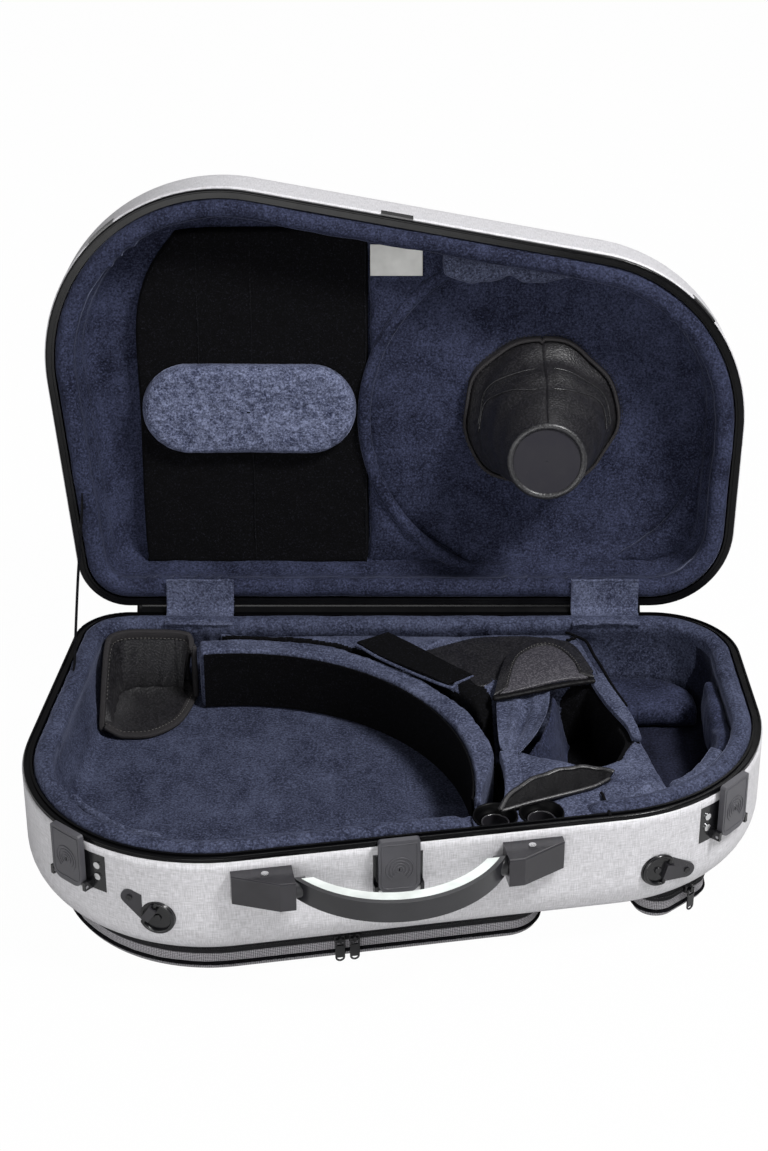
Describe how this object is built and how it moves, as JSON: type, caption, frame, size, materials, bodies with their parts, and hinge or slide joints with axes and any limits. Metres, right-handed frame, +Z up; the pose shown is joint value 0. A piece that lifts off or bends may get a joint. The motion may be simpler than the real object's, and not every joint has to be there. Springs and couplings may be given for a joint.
{
  "type": "french horn case",
  "caption": "Open moulded instrument case with a padded, divided base, a recessed lid with a bell cone, latches, a bowed handle, strap rings and zipped pockets under the base.",
  "frame": {"origin": "centre of the base's outline, on the plane that the pockets' undersides rest on", "axes": "+X to the right along the hinge line as seen from the front, +Y to the rear where the hinges are, +Z up"},
  "size_m": [0.6147, 0.5501, 0.5142],
  "materials": {
    "shell_textile": "woven grey textile bonded to a moulded shell",
    "rim_black": "satin black edge band",
    "plush_navy": "dark navy crushed plush over foam",
    "loop_black": "black brushed loop fabric",
    "pocket_tweed": "dark grey tweed cloth",
    "leather_black": "pebbled black leather, low sheen",
    "cup_black": "glossy black",
    "bracket_black": "glossy black moulding",
    "latch_charcoal": "satin charcoal moulding",
    "metal_black": "black painted metal",
    "steel": "plain steel",
    "screw_bright": "bright plated",
    "grip_charcoal": "satin charcoal",
    "liner_grey": "matt pale grey-green",
    "foot_rubber": "matt black rubber",
    "tag_white": "white woven cloth, blank"
  },
  "bodies": {
    "lid": {"lid_shell": "shell_textile", "lid_rim": "rim_black", "lid_lining": "plush_navy", "lid_loop_board": "loop_black", "recess_surround": "plush_navy", "recess_ridge": "plush_navy", "lid_oval_pad": "plush_navy", "lid_front_lobe": "plush_navy", "blank_tag": "tag_white", "bell_cone": "leather_black", "hinge_lid_leaves": "metal_black", "stay_anchor_lid": "metal_black", "lid_keepers": "metal_black", "lid_feet": "foot_rubber"},
    "lever_left": {"latch_lever_left": "latch_charcoal"},
    "lever_centre": {"latch_lever_centre": "latch_charcoal"},
    "lever_right": {"latch_lever_right": "latch_charcoal"},
    "handle": {"handle_grip": "grip_charcoal", "handle_liner": "liner_grey", "handle_pins": "steel"},
    "ring_left": {"d_ring_left": "metal_black"},
    "ring_right": {"d_ring_right": "metal_black"},
    "slider_1": {"zip_slider_1": "metal_black"},
    "pull_1": {"zip_pull_1": "metal_black"},
    "slider_2": {"zip_slider_2": "metal_black"},
    "pull_2": {"zip_pull_2": "metal_black"},
    "slider_3": {"zip_slider_3": "metal_black"},
    "pull_3": {"zip_pull_3": "metal_black"},
    "base": {"base_shell": "shell_textile", "base_rim": "rim_black", "base_lining": "plush_navy", "curved_divider": "plush_navy", "divider_loop_panel": "loop_black", "centre_block": "plush_navy", "mouthpiece_cups": "cup_black", "corner_pocket": "leather_black", "hold_down_strap": "loop_black", "leather_saddle": "leather_black", "saddle_flap": "leather_black", "leaf_flap": "leather_black", "front_right_roll": "plush_navy", "right_side_roll": "plush_navy", "front_left_bumper": "plush_navy", "compartment_rear_pad": "plush_navy", "hinge_base_leaves": "metal_black", "hinge_pins": "steel", "hinge_covers": "plush_navy", "stay_anchor_base": "metal_black", "stay_ribbon": "loop_black", "latch_plates": "metal_black", "latch_pins": "steel", "handle_brackets": "bracket_black", "ring_plates": "bracket_black", "large_pocket": "pocket_tweed", "small_pocket": "pocket_tweed", "pocket_piping": "loop_black", "zip_tapes": "loop_black", "base_feet": "foot_rubber", "latch_and_bracket_screws": "screw_bright", "ring_plate_screws": "metal_black"}
  },
  "joints": [
    {"name": "lid_hinge", "type": "hinge", "parent": "base", "child": "lid", "pos_m": [0, 0.1955, 0.13], "axis": [1, 0, 0], "range_deg": [0, 97], "deforming": ["hinge_covers", "saddle_flap", "stay_ribbon"]},
    {"name": "latch_left_pivot", "type": "hinge", "parent": "base", "child": "lever_left", "pos_m": [-0.25779, -0.15821, 0.088], "axis": [0.7547, -0.6561, 0], "range_deg": [0, 45]},
    {"name": "latch_centre_pivot", "type": "hinge", "parent": "base", "child": "lever_centre", "pos_m": [0.00144, -0.17255, 0.088], "axis": [0.9839, 0.179, 0], "range_deg": [0, 45]},
    {"name": "latch_right_pivot", "type": "hinge", "parent": "base", "child": "lever_right", "pos_m": [0.27197, -0.08913, 0.088], "axis": [0.6691, 0.7431, 0], "range_deg": [0, 45]},
    {"name": "handle_pivot", "type": "hinge", "parent": "base", "child": "handle", "pos_m": [0.00288, -0.18042, 0.1055], "axis": [0.9839, 0.179, 0], "range_deg": [-70, 60]},
    {"name": "d_ring_left_pivot", "type": "hinge", "parent": "base", "child": "ring_left", "pos_m": [-0.19314, -0.18893, 0.07681], "axis": [-0.5307, 0.1225, -0.8387], "range_deg": [0, 150]},
    {"name": "d_ring_right_pivot", "type": "hinge", "parent": "base", "child": "ring_right", "pos_m": [0.21742, -0.125, 0.07095], "axis": [0.2711, 0.1095, 0.9563], "range_deg": [0, 150]},
    {"name": "zip_1_slide", "type": "slide", "parent": "base", "child": "slider_1", "axis": [0.9839, 0.179, 0], "range_m": [-0.08, 0]},
    {"name": "pull_1_swing", "type": "hinge", "parent": "slider_1", "child": "pull_1", "pos_m": [-0.04578, -0.15319, 0.0225], "axis": [-0.9839, -0.179, 0], "range_deg": [0, 90]},
    {"name": "zip_2_slide", "type": "slide", "parent": "base", "child": "slider_2", "axis": [0.9839, 0.179, 0], "range_m": [0, 0.11]},
    {"name": "pull_2_swing", "type": "hinge", "parent": "slider_2", "child": "pull_2", "pos_m": [-0.03398, -0.15105, 0.0225], "axis": [-0.9839, -0.179, 0], "range_deg": [0, 90]},
    {"name": "zip_3_slide", "type": "slide", "parent": "base", "child": "slider_3", "axis": [0.7467, 0.6652, 0], "range_m": [-0.014, 0.014]},
    {"name": "pull_3_swing", "type": "hinge", "parent": "slider_3", "child": "pull_3", "pos_m": [0.2441, -0.08446, 0.0225], "axis": [-0.7467, -0.6652, 0], "range_deg": [0, 90]}
  ]
}
